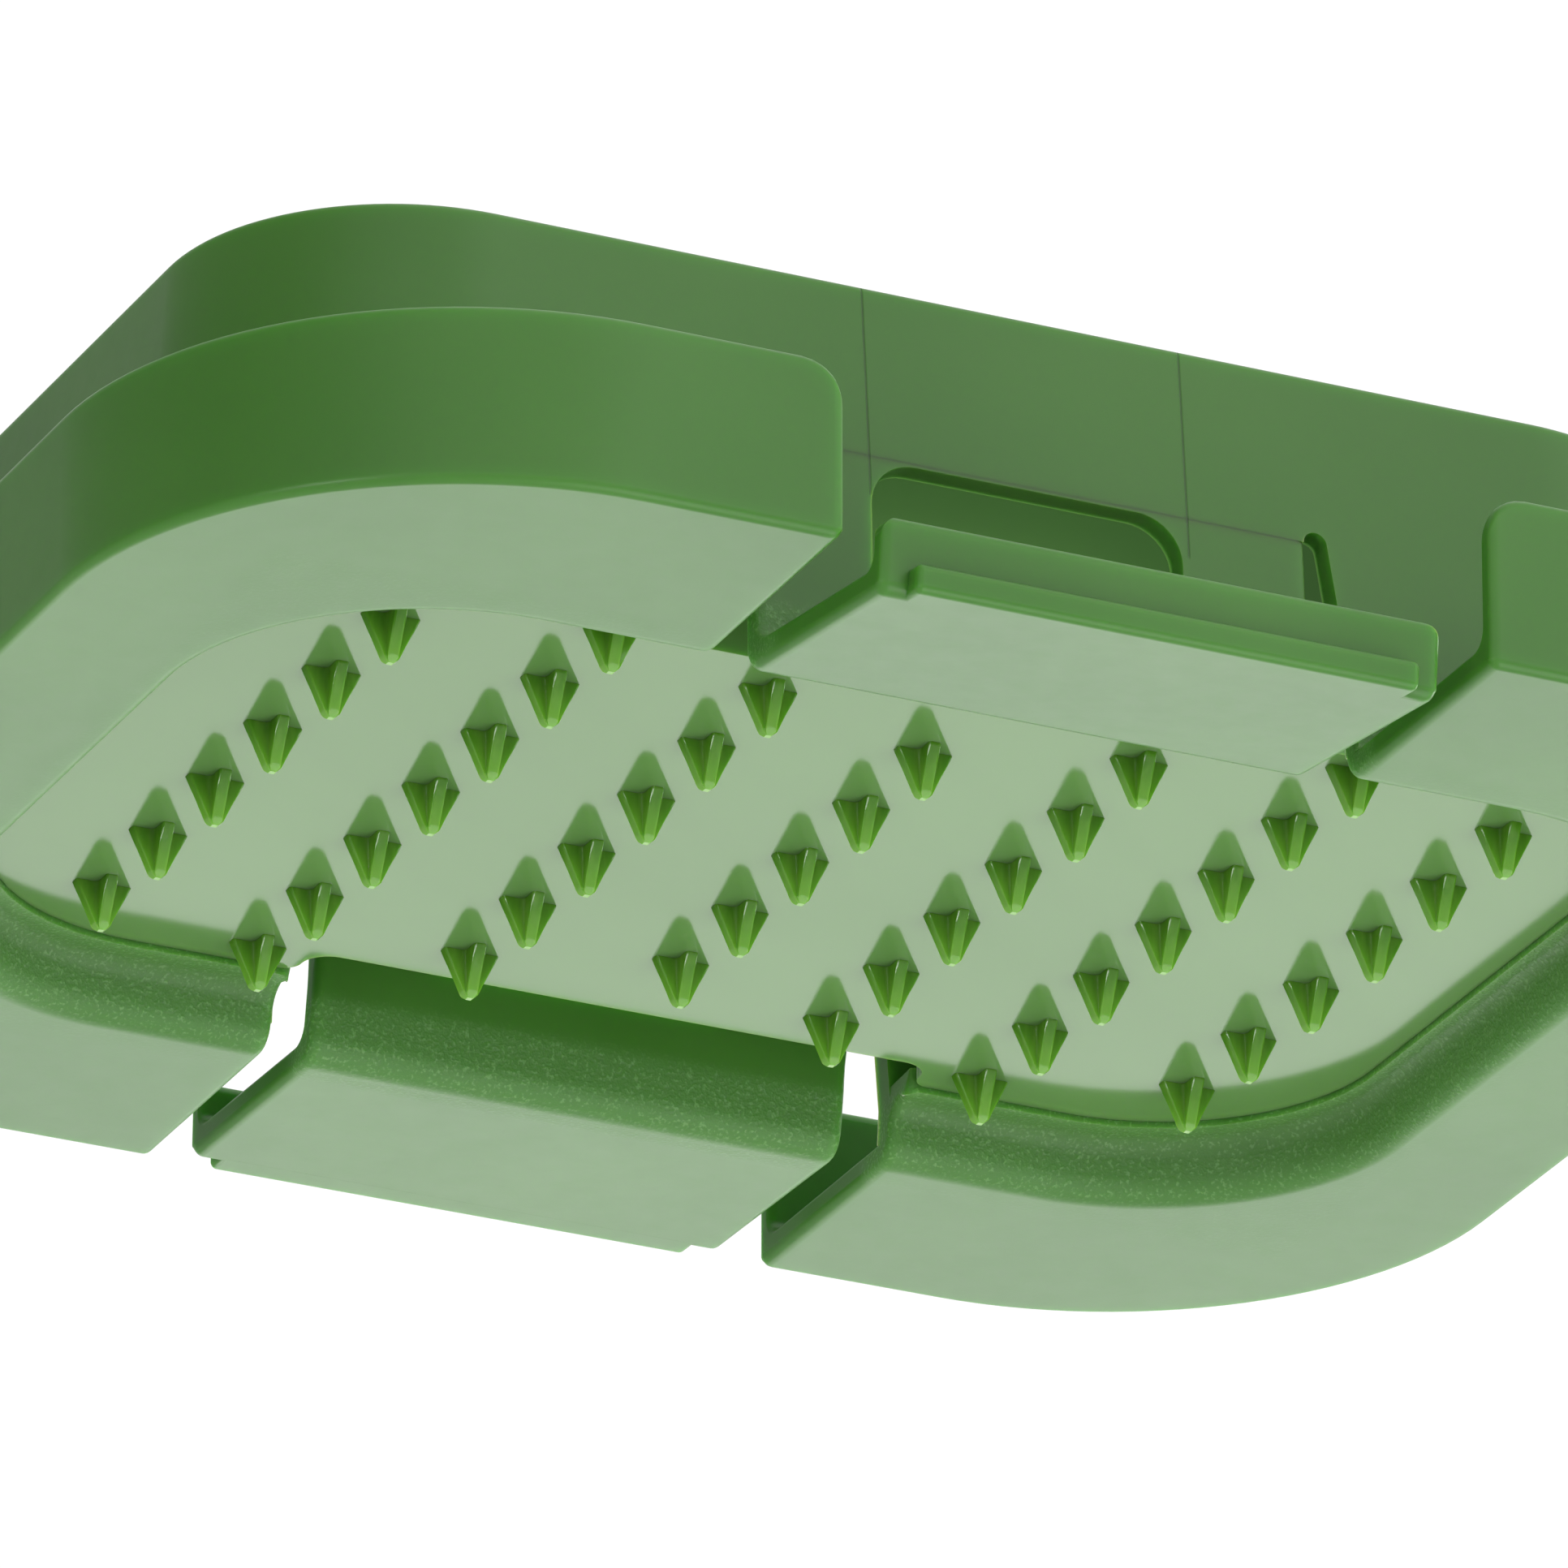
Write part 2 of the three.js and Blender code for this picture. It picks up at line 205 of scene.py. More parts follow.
def smooth(piece, angle=32.0):
    """Smooth shading that leaves the large faces truly flat."""
    piece.data.shade_smooth()
    piece.data.set_sharp_from_angle(angle=math.radians(angle))
    modifier = piece.modifiers.new("weights", "WEIGHTED_NORMAL")
    modifier.keep_sharp = True
    modifier.weight = 100
    bake(piece)


def arc(cx, cy, radius, start, end, steps):
    """Points on an arc, angles in degrees."""
    points = []
    for i in range(steps + 1):
        turn = math.radians(start + (end - start) * i / steps)
        points.append((cx + radius * math.cos(turn), cy + radius * math.sin(turn)))
    return points


def filleted(corners, steps=8):
    """A closed outline from (x, y, radius) corners, with each corner turned into an arc."""
    outline = []
    count = len(corners)
    for i, (x, y, radius) in enumerate(corners):
        here = Vector((x, y))
        before = (Vector(corners[i - 1][:2]) - here).normalized()
        after = (Vector(corners[(i + 1) % count][:2]) - here).normalized()
        if radius <= 0:
            outline.append((x, y))
            continue
        half = before.angle(after) / 2
        centre = here + (before + after).normalized() * radius / math.sin(half)
        first = here + before * radius / math.tan(half) - centre
        last = here + after * radius / math.tan(half) - centre
        sweep = first.angle_signed(last)
        for k in range(steps + 1):
            spoke = first.copy()
            spoke.rotate(Matrix.Rotation(-sweep * k / steps, 2))
            outline.append(tuple(centre + spoke))
    return outline


def normals_of(outline):
    """Unit normals of a closed outline, to its right as it runs."""
    count = len(outline)
    normals = []
    for i in range(count):
        before = Vector(outline[i]) - Vector(outline[i - 1])
        after = Vector(outline[(i + 1) % count]) - Vector(outline[i])
        before, after = before.normalized(), after.normalized()
        mean = Vector((before.y + after.y, -before.x - after.x))
        mean.normalize()
        normals.append(mean / max(0.6, mean.dot(Vector((after.y, -after.x)))))
    return normals


def end_gaps(radius):
    """Distances from a rounded end, from the end itself to where the rounding starts."""
    return [radius * (1 - math.cos(math.pi / 2 * k / END_STEPS)) for k in range(END_STEPS + 1)]


def tube_faces(rings, n):
    """Faces of a closed tube through rings of n points each, with both ends capped."""
    faces = []
    for row in range(rings - 1):
        for i in range(n):
            j = (i + 1) % n
            faces.append((row * n + i, row * n + j, (row + 1) * n + j, (row + 1) * n + i))
    faces.append(tuple(range(n)))
    faces.append(tuple(range((rings - 1) * n, rings * n)))
    return faces


def rounded_prism(name, outline, half, radius, place, ease=None):
    """A prism from -half to half whose end edges are rounded; the outline runs anticlockwise.

    ease(point, normal) may turn or shorten the rounding of a point.
    """
    normals = normals_of(outline)
    if ease:
        normals = [ease(point, normal) for point, normal in zip(outline, normals)]
    stations = [(-half, FLAT_END * radius)]
    for gap in end_gaps(radius):
        stations.append((gap - half, end_round(gap, radius)))
    stations += [(-w, d) for w, d in reversed(stations)]
    vertices = []
    for w, d in stations:
        for (u, v), normal in zip(outline, normals):
            vertices.append(place(u - normal.x * d, v - normal.y * d, w))
    return mesh_object(name, vertices, tube_faces(len(stations), len(outline)))


def end_round(gap, radius):
    """How far a rounded edge of this radius has fallen back at a distance from its end."""
    if gap >= radius:
        return 0.0
    return radius - math.sqrt(max(0.0, radius * radius - (radius - gap) ** 2))


def prism(name, outline, low, high, place):
    """A closed prism: outline points (u, v) and a height w go through place to (x, y, z)."""
    n = len(outline)
    vertices = [place(u, v, low) for u, v in outline] + [place(u, v, high) for u, v in outline]
    faces = [(i, (i + 1) % n, n + (i + 1) % n, n + i) for i in range(n)]
    faces += [tuple(range(n)), tuple(range(n, 2 * n))]
    return mesh_object(name, vertices, faces)


def along_x(u, v, w):
    return (w, u, v)


def along_y(u, v, w):
    return (u, w, v)


def along_z(u, v, w):
    return (u, v, w)


def ring(z, x, y, r):
    """A level of a rounded rectangle: height, half length, half width, corner radius."""
    return (z, x, y, max(r, 0.05))


def ring_point(level, quarter, share):
    """A point on one corner of a level.

    Quarter 0 is +X+Y, and share runs anticlockwise over the corner's quarter turn.
    """
    z, x, y, r = level
    side_x = (1, -1, -1, 1)[quarter]
    side_y = (1, 1, -1, -1)[quarter]
    turn = (quarter + share) * math.pi / 2
    return (side_x * (x - r) + r * math.cos(turn), side_y * (y - r) + r * math.sin(turn), z)


def loft(name, levels):
    """A closed solid through a stack of rounded rectangles."""
    vertices = []
    for level in levels:
        for quarter in range(4):
            for k in range(CORNER_STEPS + 1):
                vertices.append(ring_point(level, quarter, k / CORNER_STEPS))
    return mesh_object(name, vertices, tube_faces(len(levels), 4 * (CORNER_STEPS + 1)))


# ---------------------------------------------------------------- guard body

def smootherstep(t):
    t = min(max(t, 0.0), 1.0)
    return t * t * t * (t * (6 * t - 15) + 10)


def bent_path(start, corners, end):
    """An open path from start to end whose (u, v, radius) corners are turned into arcs."""
    closed = [(*start, 0.01)] + list(corners) + [(*end, 0.01)]
    steps = 12
    outline = filleted(closed, steps)
    return [start] + outline[steps + 1:-(steps + 1)] + [end]


def ogee_path():
    """Section of the recess wall on a long side, from the lip down to the flange, as (y, z)."""
    return bent_path((PLATE_Y + 0.15, LIP_BOTTOM),
                     [(PLATE_Y + 2.75, LIP_BOTTOM, 1.8), (PLATE_Y + 3.95, FLANGE_BOTTOM, 2.3)],
                     (RECESS_Y, FLANGE_BOTTOM))


def block_x(z):
    return RECESS_X + BLOCK_STAND_OUT - (z - FLANGE_TOP) * BLOCK_DRAFT


def block_y(z):
    return RECESS_Y - BLOCK_STAND_IN - (z - FLANGE_TOP) * BLOCK_DRAFT


def block_ring(z, inset, height=None):
    r = BLOCK_CORNER - (z - FLANGE_TOP) * BLOCK_DRAFT / 2
    return ring(z if height is None else height, block_x(z) - inset, block_y(z) - inset, r - inset)


def plate_ring(z, grow):
    return ring(z, PLATE_X + grow, PLATE_Y + grow, PLATE_CORNER + grow)


def brim_ring(z, inset):
    return ring(z, BRIM_X - inset, BRIM_Y - inset, BRIM_CORNER - inset)


def brim_section():
    """The closed section of lip, ogee, flange and rim, as a loop of rounded rectangles."""
    section = [plate_ring(LIP_TOP, 0.0), plate_ring(LIP_BOTTOM + 0.15, 0.0)]
    section += [plate_ring(LIP_BOTTOM + 0.04, 0.04), plate_ring(LIP_BOTTOM, 0.15)]
    for y, z in ogee_path()[1:]:
        share = (y - PLATE_Y) / (RECESS_Y - PLATE_Y)
        section.append(ring(z, PLATE_X + (RECESS_X - PLATE_X) * share, y,
                            PLATE_CORNER + (RECESS_CORNER - PLATE_CORNER) * share))
    for v, u in arc(0, 0, FLANGE_EDGE, 180, 90, 5):
        section.append(brim_ring(FLANGE_BOTTOM + FLANGE_EDGE + v, FLANGE_EDGE - u))
    half = RIM_THICKNESS / 2
    for u, v in arc(0, 0, half, 0, 180, 8):
        section.append(brim_ring(RIM_TOP - half + v, half - u))
    for u, v in arc(0, 0, RIM_FOOT, 0, -90, 5):
        section.append(brim_ring(FLANGE_TOP + RIM_FOOT + v, RIM_THICKNESS + RIM_FOOT - u))
    section.append(block_ring(FLANGE_TOP, BRIM_OVERLAP))
    section.append(block_ring(LIP_TOP, BRIM_OVERLAP))
    return section


def edge_share(y, z, normal):
    """How much of the full end rounding a point takes: all of it below, about half above."""
    below = smootherstep(max(-normal.y, -normal.x) * 1.6 - 0.2)
    if y > CLIP_Y - 6.0:
        below *= 1.0 - smootherstep((z - FLANGE_BOTTOM - 0.3) / 1.4)
    return 0.55 + 0.45 * below


def end_station(section, normals, side_y, gap, flat=1.0):
    """The section on a long side, gap away from the clip slot, with its edges rounded."""
    station = []
    back = end_round(gap, EDGE_RADIUS) * flat
    for (z, _, y, _), normal in zip(section, normals):
        at_rim = y > BRIM_Y - 2.2
        rim = smootherstep((z - RIM_TOP + RIM_END_RADIUS + 2.5) / 3.5) if at_rim else 0.0
        lip = max(0.0, PLATE_Y + 2.0 - y) / 2.0 if z < LIP_TOP - 0.5 else 0.0
        thin = 0.1 + 0.9 * smootherstep((y - PLATE_Y - 0.3) / 1.8)
        thin *= edge_share(y, z, normal)
        z -= end_round(gap, RIM_END_RADIUS) * rim
        y += end_round(gap, LIP_END_RADIUS) * lip
        inset = back * thin
        station.append((SLOT_X + gap, side_y * (y - normal.x * inset), z - normal.y * inset))
    return station


def brim_half(side):
    """One end of the brim, from slot to slot round the end of the guard."""
    section = brim_section()
    normals = normals_of([(y, z) for z, _, y, _ in section])
    gaps = end_gaps(EDGE_RADIUS) + [1.25, 1.65, 2.2, 3.0, 4.2]
    stations = [end_station(section, normals, -1, 0.0, FLAT_END)]
    stations += [end_station(section, normals, -1, gap) for gap in gaps]
    for quarter in (3, 0):
        for k in range(CORNER_STEPS + 1):
            stations.append([ring_point(level, quarter, k / CORNER_STEPS) for level in section])
    stations += [end_station(section, normals, 1, gap) for gap in reversed(gaps)]
    stations.append(end_station(section, normals, 1, 0.0, FLAT_END))
    vertices = [(side * x, y, z) for station in stations for x, y, z in station]
    return mesh_object("brim", vertices, tube_faces(len(stations), len(section)))


def block_shell():
    levels = [block_ring(FLANGE_TOP - 0.2, 0.0)]
    top = BLOCK_TOP
    for u, v in arc(0, 0, BLOCK_EDGE, 0, 84, 6):
        levels.append(block_ring(top - BLOCK_EDGE, BLOCK_EDGE - u, top - BLOCK_EDGE + v))
    for i in range(1, CROWN_STEPS + 1):
        share = i / CROWN_STEPS
        run = BLOCK_EDGE + (CROWN_RUN - BLOCK_EDGE) * share
        rise = CROWN_HEIGHT * math.sin(share * math.pi / 2)
        r = (BLOCK_CORNER - 1.3 - BLOCK_EDGE) * (1 - share) + 4 * share
        levels.append(ring(top + rise, block_x(top) - run, block_y(top) - run, r))
    shell = loft("guard_shell", levels)
    cavity = loft("cavity", [block_ring(FLANGE_TOP - 1.2, BLOCK_WALL),
                             block_ring(ROOF_BOTTOM - 1.5, BLOCK_WALL),
                             block_ring(ROOF_BOTTOM - 0.4, BLOCK_WALL + 0.4),
                             block_ring(ROOF_BOTTOM, BLOCK_WALL + 1.5)])
    boolean(shell, cavity, "DIFFERENCE")
    return shell


def clip_opening(side):
    r = (SLOT_TOP_X - CLIP_X) / 2
    right = [(SLOT_X + 0.04, -8.0), (SLOT_X + 0.04, 0.0)]
    right += arc(SLOT_TOP_X - r, SLOT_TOP - r, r, 0, 180, 16)
    outline = right + [(-x, z) for x, z in reversed(right)]
    return prism("opening", outline, side * (NOTCH_Y - 2), side * (BRIM_Y + 3), along_y)


def round_edges(piece, chooses, width):
    """Rounds the sharp edges whose middle, as x and height, chooses(x, level) accepts."""
    bm = bmesh.new()
    bm.from_mesh(piece.data)
    chosen = []
    for edge in bm.edges:
        if len(edge.link_faces) != 2 or edge.calc_face_angle() < SHARP_ANGLE:
            continue
        middle = (edge.verts[0].co + edge.verts[1].co) / 2 / MM
        if chooses(middle.x, middle.z - PLATE_Z):
            chosen.append(edge)
    bmesh.ops.bevel(bm, geom=chosen, offset=width * MM, segments=3, profile=0.5, affect="EDGES",
                    clamp_overlap=True)
    bm.to_mesh(piece.data)
    bm.free()


def at_slot(x, level):
    """The slots beside the tongues, but not where the tongues grow out of the wall."""
    beside = CLIP_X + 0.02 < abs(x) < SLOT_X + 0.2
    return beside and FLANGE_TOP < level < SLOT_TOP + 0.2


def at_window(x, level):
    within = WINDOW_LEFT - 0.1 < x < WINDOW_RIGHT + 0.1
    return within and WINDOW_BOTTOM - 0.1 < level < WINDOW_TOP + 0.1


def guard_body():
    body = block_shell()
    for side in (-1, 1):
        boolean(body, clip_opening(side), "DIFFERENCE")
    for side in (-1, 1):
        boolean(body, brim_half(side), "UNION")
    round_edges(body, at_slot, SLOT_EDGE)
    body.name = "guard_body_shell"
    smooth(body)
    return body


# ---------------------------------------------------------------- clips

def clip_outline():
    """Section of tongue and clip on the +Y side, in Y and Z, anticlockwise."""
    drop = LIP_TOP - TONGUE_ROOT
    levels = [TONGUE_ROOT + drop * i / TONGUE_LEVELS for i in range(TONGUE_LEVELS + 1)]
    points = [(block_y(z) - BLOCK_WALL, z) for z in levels]
    inner = points[-1][0]
    points += bent_path(points[-1], [(inner + 0.1, 0.2, 1.1), (inner + 0.8, FLANGE_BOTTOM, 2.2)],
                        (RECESS_Y + 1.0, FLANGE_BOTTOM))[1:]
    points += arc(CLIP_Y - 1.0, FLANGE_BOTTOM + 1.0, 1.0, -90, 0, 6)
    half = CLIP_WALL / 2
    points += arc(CLIP_Y - half, CLIP_WALL_TOP - half, half, 0, 180, 10)
    points += arc(CLIP_Y - CLIP_WALL - 1.0, FLANGE_TOP + 1.0, 1.0, 0, -90, 6)
    foot = block_y(FLANGE_TOP)
    points += arc(foot + 1.4, FLANGE_TOP + 1.4, 1.4, -90, -175, 6)
    points += [(block_y(z), z) for z in reversed(levels)]
    return points


def tongue_edge(point, normal):
    """The rounding is small on the tongue, and doesn't lower its root."""
    share = smootherstep((point[1] - LIP_TOP) / 4.0)
    flat = Vector((math.copysign(0.33, normal.x), 0.0))
    return (normal * edge_share(point[0], point[1], normal)).lerp(flat, share)


def bead_outline():
    low = FLANGE_BOTTOM - 0.003
    high = FLANGE_BOTTOM + BEAD_HEIGHT
    outline = [(CLIP_Y - BEAD_BACK, low)]
    outline += arc(BEAD_Y - 0.6, low + 0.6, 0.6, -90, 0, 6)
    outline += arc(BEAD_Y - 0.55, high - 0.55, 0.55, 0, 90, 6)
    return outline + [(CLIP_Y - BEAD_BACK, high)]


def window_tool():
    corners = [(WINDOW_LEFT, WINDOW_BOTTOM, WINDOW_BOTTOM_RADIUS),
               (WINDOW_RIGHT, WINDOW_BOTTOM, WINDOW_BOTTOM_RADIUS),
               (WINDOW_RIGHT, WINDOW_TOP, WINDOW_RADIUS),
               (WINDOW_LEFT, WINDOW_TOP, WINDOW_RADIUS)]
    outline = filleted(corners, 10)
    return prism("window", outline, NOTCH_Y, RECESS_Y + 1, along_y)


def bend(clip, angle):
    """Bends a clip the way its tongue does: the turn grows evenly from the root to the foot."""
    length = TONGUE_ROOT - LIP_TOP
    radius = length / angle
    middle = block_y(TONGUE_ROOT) - BLOCK_WALL / 2
    for vertex in clip.data.vertices:
        y = vertex.co.y / MM - MIDDLE_Y
        z = vertex.co.z / MM - PLATE_Z
        down = min(max(TONGUE_ROOT - z, 0.0), length)
        turn = angle * down / length
        out = y - middle
        past = TONGUE_ROOT - z - down
        y = middle - radius * (1 - math.cos(turn)) + out * math.cos(turn) - past * math.sin(turn)
        z = TONGUE_ROOT - radius * math.sin(turn) - out * math.sin(turn) - past * math.cos(turn)
        vertex.co.y = (y + MIDDLE_Y) * MM
        vertex.co.z = (z + PLATE_Z) * MM


def round_wall_corners(clip):
    """Rounds the top corners of the clip's low wall."""
    radius = WALL_CORNER
    for end in (-1, 1):
        outline = [(CLIP_X + 1, CLIP_WALL_TOP + 1), (CLIP_X - radius, CLIP_WALL_TOP + 1)]
        outline += arc(CLIP_X - radius, CLIP_WALL_TOP - radius, radius, 88, 2, 8)
        outline += [(CLIP_X + 1, CLIP_WALL_TOP - radius)]
        outline = [(end * x, z) for x, z in outline]
        boolean(clip, prism("corner", outline, CLIP_Y - 3, CLIP_Y + 2, along_y), "DIFFERENCE")


def snap_clip(name, side, angle):
    clip = rounded_prism(name, clip_outline(), CLIP_X, EDGE_RADIUS, along_x, tongue_edge)
    round_wall_corners(clip)
    bead = rounded_prism("bead", bead_outline(), BEAD_X, BEAD_END_RADIUS, along_x)
    boolean(clip, bead, "UNION")
    boolean(clip, window_tool(), "DIFFERENCE")
    round_edges(clip, at_window, WINDOW_EDGE)
    bend(clip, angle)
    if side < 0:
        for vertex in clip.data.vertices:
            vertex.co.y = 2 * MIDDLE_Y * MM - vertex.co.y
        clip.data.flip_normals()
    smooth(clip)
    return clip


# ---------------------------------------------------------------- plate and pins

def plate_outline():
    x = PLATE_X - PLATE_SEAM
    y = PLATE_Y - PLATE_SEAM
    r = PLATE_CORNER - PLATE_SEAM
    quarter = [(x, y, r), (SLOT_X, y, 1.3), (SLOT_X, NOTCH_Y, 2.1)]
    corners = quarter + [(-a, b, c) for a, b, c in reversed(quarter)]
    corners += [(-a, -b, c) for a, b, c in quarter]
    corners += [(a, -b, c) for a, b, c in reversed(quarter)]
    return filleted(corners, 14)


def pin_plate():
    plate = prism("pin_plate_body", plate_outline(), 0.0, PLATE_TOP, along_z)
    bevel(plate, PLATE_EDGE, 55.0)
    for side in (-1, 1):
        outline = [(-UPSTAND_X, PLATE_TOP - 1.0), (UPSTAND_X, PLATE_TOP - 1.0),
                   (UPSTAND_X, UPSTAND_TOP), (-UPSTAND_X, UPSTAND_TOP)]
        low, high = sorted((side * (NOTCH_Y - UPSTAND_NEAR), side * (NOTCH_Y - UPSTAND_FAR)))
        boolean(plate, prism("upstand", outline, low, high, along_y), "UNION")
    smooth(plate)
    return plate


def pin_section():
    """Cross section of a pin at its base: four fins with a soft fillet between neighbours."""
    reach = PIN_SPAN / 2
    half = PIN_CORE
    side = reach - PIN_BEVEL
    corners = []
    for turn in range(4):
        c, s = round(math.cos(turn * math.pi / 2)), round(math.sin(turn * math.pi / 2))
        for u, v in ((reach, -half + PIN_BEVEL), (reach, half - PIN_BEVEL), (side, half)):
            corners.append((u * c - v * s, u * s + v * c, 0.03))
        corners.append((half * c - half * s, half * s + half * c, 0.42))
        corners.append((half * c - side * s, half * s + side * c, 0.03))
    return filleted(corners, 3)


def fin_reach(distance, share):
    """A distance from the pin's axis when the fins stand out by this share of their length.

    The core keeps its width.
    """
    beyond = max(0.0, abs(distance) - PIN_CORE)
    return math.copysign(min(abs(distance), PIN_CORE) + beyond * share, distance)


def pin_master():
    """One pin, pointing down from the plate's underside, with convex fin edges and a blunt tip."""
    section = pin_section()
    vertices = []
    for i in range(PIN_LEVELS + 1):
        share = i / PIN_LEVELS
        fin = 1.0 - 0.97 * share ** 1.12
        slim = 1.0 - 0.16 * share
        if share > 0.9:
            slim *= math.sqrt(1.0 - 0.75 * ((share - 0.9) / 0.1) ** 2)
        for u, v in section:
            vertices.append((fin_reach(u, fin) * slim, fin_reach(v, fin) * slim,
                             -(PIN_HEIGHT - 0.005) * share))
    top = [(u, v, PIN_SUNK) for u, v in section]
    faces = tube_faces(PIN_LEVELS + 2, len(section))
    master = mesh_object("pin_master", top + vertices, faces)
    master.data.transform(Matrix.Translation((0, -MIDDLE_Y * MM, -PLATE_Z * MM)))
    smooth(master, 38.0)
    return master


def socket_of(made, key):
    """An input of a node: i3 is the fourth, and any other key is a name with _ for spaces."""
    if key[0] == "i" and key[1:].isdigit():
        return made.inputs[int(key[1:])]
    return made.inputs[key.replace("_", " ")]


def pin_array(material):
    """Geometry nodes: a column of pins for each count, instanced from one pin and made real."""
    tree = bpy.data.node_groups.new("Pin array", "GeometryNodeTree")
    tree.interface.new_socket("Geometry", in_out="OUTPUT", socket_type="NodeSocketGeometry")
    inputs = {}
    for label, kind, value in (("Pin", "NodeSocketObject", None),
                               ("Column pitch", "NodeSocketFloat", COLUMN_PITCH * MM),
                               ("Row pitch", "NodeSocketFloat", ROW_PITCH * MM),
                               ("Plate height", "NodeSocketFloat", PLATE_Z * MM),
                               ("Middle", "NodeSocketFloat", MIDDLE_Y * MM)):
        socket = tree.interface.new_socket(label, in_out="INPUT", socket_type=kind)
        inputs[label] = socket.identifier
        if value is not None:
            socket.default_value = value

    def node(kind, **links):
        made = tree.nodes.new(kind)
        for key, value in links.items():
            target = socket_of(made, key)
            if isinstance(value, bpy.types.NodeSocket):
                tree.links.new(value, target)
            else:
                target.default_value = value
        return made

    entry = tree.nodes.new("NodeGroupInput")
    pin = node("GeometryNodeObjectInfo", Object=entry.outputs["Pin"])
    joined = tree.nodes.new("GeometryNodeJoinGeometry")
    for column, count in enumerate(PINS_PER_COLUMN):
        x = node("ShaderNodeMath", i0=entry.outputs["Column pitch"], i1=float(column - 3))
        x.operation = "MULTIPLY"
        y = node("ShaderNodeMath", i0=entry.outputs["Row pitch"], i1=-(count - 1) / 2)
        y.operation = "MULTIPLY_ADD"
        tree.links.new(entry.outputs["Middle"], y.inputs[2])
        start = node("ShaderNodeCombineXYZ", X=x.outputs[0], Y=y.outputs[0],
                     Z=entry.outputs["Plate height"])
        step = node("ShaderNodeCombineXYZ", Y=entry.outputs["Row pitch"])
        line = node("GeometryNodeMeshLine", Count=count, Start_Location=start.outputs[0],
                    Offset=step.outputs[0])
        tree.links.new(line.outputs[0], joined.inputs[0])
    copies = node("GeometryNodeInstanceOnPoints", Points=joined.outputs[0],
                  Instance=pin.outputs["Geometry"])
    real = node("GeometryNodeRealizeInstances", Geometry=copies.outputs[0])
    coat = node("GeometryNodeSetMaterial", Geometry=real.outputs[0], Material=material)
    leave = tree.nodes.new("NodeGroupOutput")
    tree.links.new(coat.outputs[0], leave.inputs[0])

    master = pin_master()
    holder = mesh_object("pins", [(0, -MIDDLE_Y, -PLATE_Z)], [])
    modifier = holder.modifiers.new("pins", "NODES")
    modifier.node_group = tree
    modifier[inputs["Pin"]] = master
    bake(holder)
    bpy.data.objects.remove(master)
    return holder


# ---------------------------------------------------------------- shader helper

class Value:
    """A shader socket that takes part in Python arithmetic."""

    def __init__(self, shader, socket):
        self.shader = shader
        self.socket = socket

    def _math(self, operation, *operands):
        return self.shader.math(operation, *operands)

    def __add__(self, other):
        return self._math("ADD", self, other)

    def __radd__(self, other):
        return self._math("ADD", other, self)

    def __sub__(self, other):
        return self._math("SUBTRACT", self, other)

    def __rsub__(self, other):
        return self._math("SUBTRACT", other, self)

    def __mul__(self, other):
        return self._math("MULTIPLY", self, other)

    def __rmul__(self, other):
        return self._math("MULTIPLY", other, self)


class Shader:
    """A material's node tree, with one method for nodes and one for arithmetic."""

    def __init__(self, name):
        self.material = bpy.data.materials.new(name)
        self.material.use_nodes = True
        self.tree = self.material.node_tree
        self.tree.nodes.clear()

    def node(self, kind, settings=None, **sockets):
        made = self.tree.nodes.new(kind)
        for key, value in (settings or {}).items():
            setattr(made, key, value)
        for key, value in sockets.items():
            target = socket_of(made, key)
            if isinstance(value, Value):
                self.tree.links.new(value.socket, target)
            else:
                target.default_value = value
        return made

    def value(self, made, output=0):
        return Value(self, made.outputs[output])

    def math(self, operation, *operands):
        return self.value(self.node("ShaderNodeMath", {"operation": operation},
                                    **{f"i{k}": v for k, v in enumerate(operands)}))

    def ramp(self, value, low, high, out_low=0.0, out_high=1.0):
        """A smooth change from out_low to out_high as value goes from low to high."""
        return self.value(self.node("ShaderNodeMapRange", {"interpolation_type": "SMOOTHSTEP"},
                                    Value=value, From_Min=low, From_Max=high,
                                    To_Min=out_low, To_Max=out_high))

    def position(self):
        """Object coordinates, in metres, and their three parts."""
        place = self.value(self.node("ShaderNodeTexCoord"), "Object")
        parts = self.node("ShaderNodeSeparateXYZ", Vector=place)
        return place, [self.value(parts, k) for k in range(3)]

    def spans(self, x, y, z):
        """Height over the plate's underside, and distances from the middle, in millimetres."""
        height = z * 1000.0 - PLATE_Z
        width = self.math("ABSOLUTE", x) * 1000.0
        depth = self.math("ABSOLUTE", y * 1000.0 - MIDDLE_Y)
        return height, width, depth

    def noise(self, place, size, detail=2.0, roughness=0.5, stretch=None):
        """Noise from 0 to 1 with features of about this size in millimetres."""
        if stretch:
            place = self.value(self.node("ShaderNodeVectorMath", {"operation": "MULTIPLY"},
                                         i0=place, i1=stretch))
        return self.value(self.node("ShaderNodeTexNoise", Vector=place, Scale=1000.0 / size,
                                    Detail=detail, Roughness=roughness))

    def mix(self, factor, first, second):
        made = self.node("ShaderNodeMix", {"data_type": "RGBA"}, i0=factor, i6=first, i7=second)
        return self.value(made, 2)

    def bump(self, height, distance, strength=1.0, normal=None):
        made = self.node("ShaderNodeBump", Height=height, Distance=distance, Strength=strength)
        if normal is not None:
            self.tree.links.new(normal.socket, made.inputs["Normal"])
        return self.value(made)

    def finish(self, **sockets):
        surface = self.node("ShaderNodeBsdfPrincipled", **sockets)
        out = self.node("ShaderNodeOutputMaterial")
        self.tree.links.new(surface.outputs[0], out.inputs["Surface"])
        return self.material


def rgb(red, green, blue):
    return (red, green, blue, 1.0)


# ---------------------------------------------------------------- materials

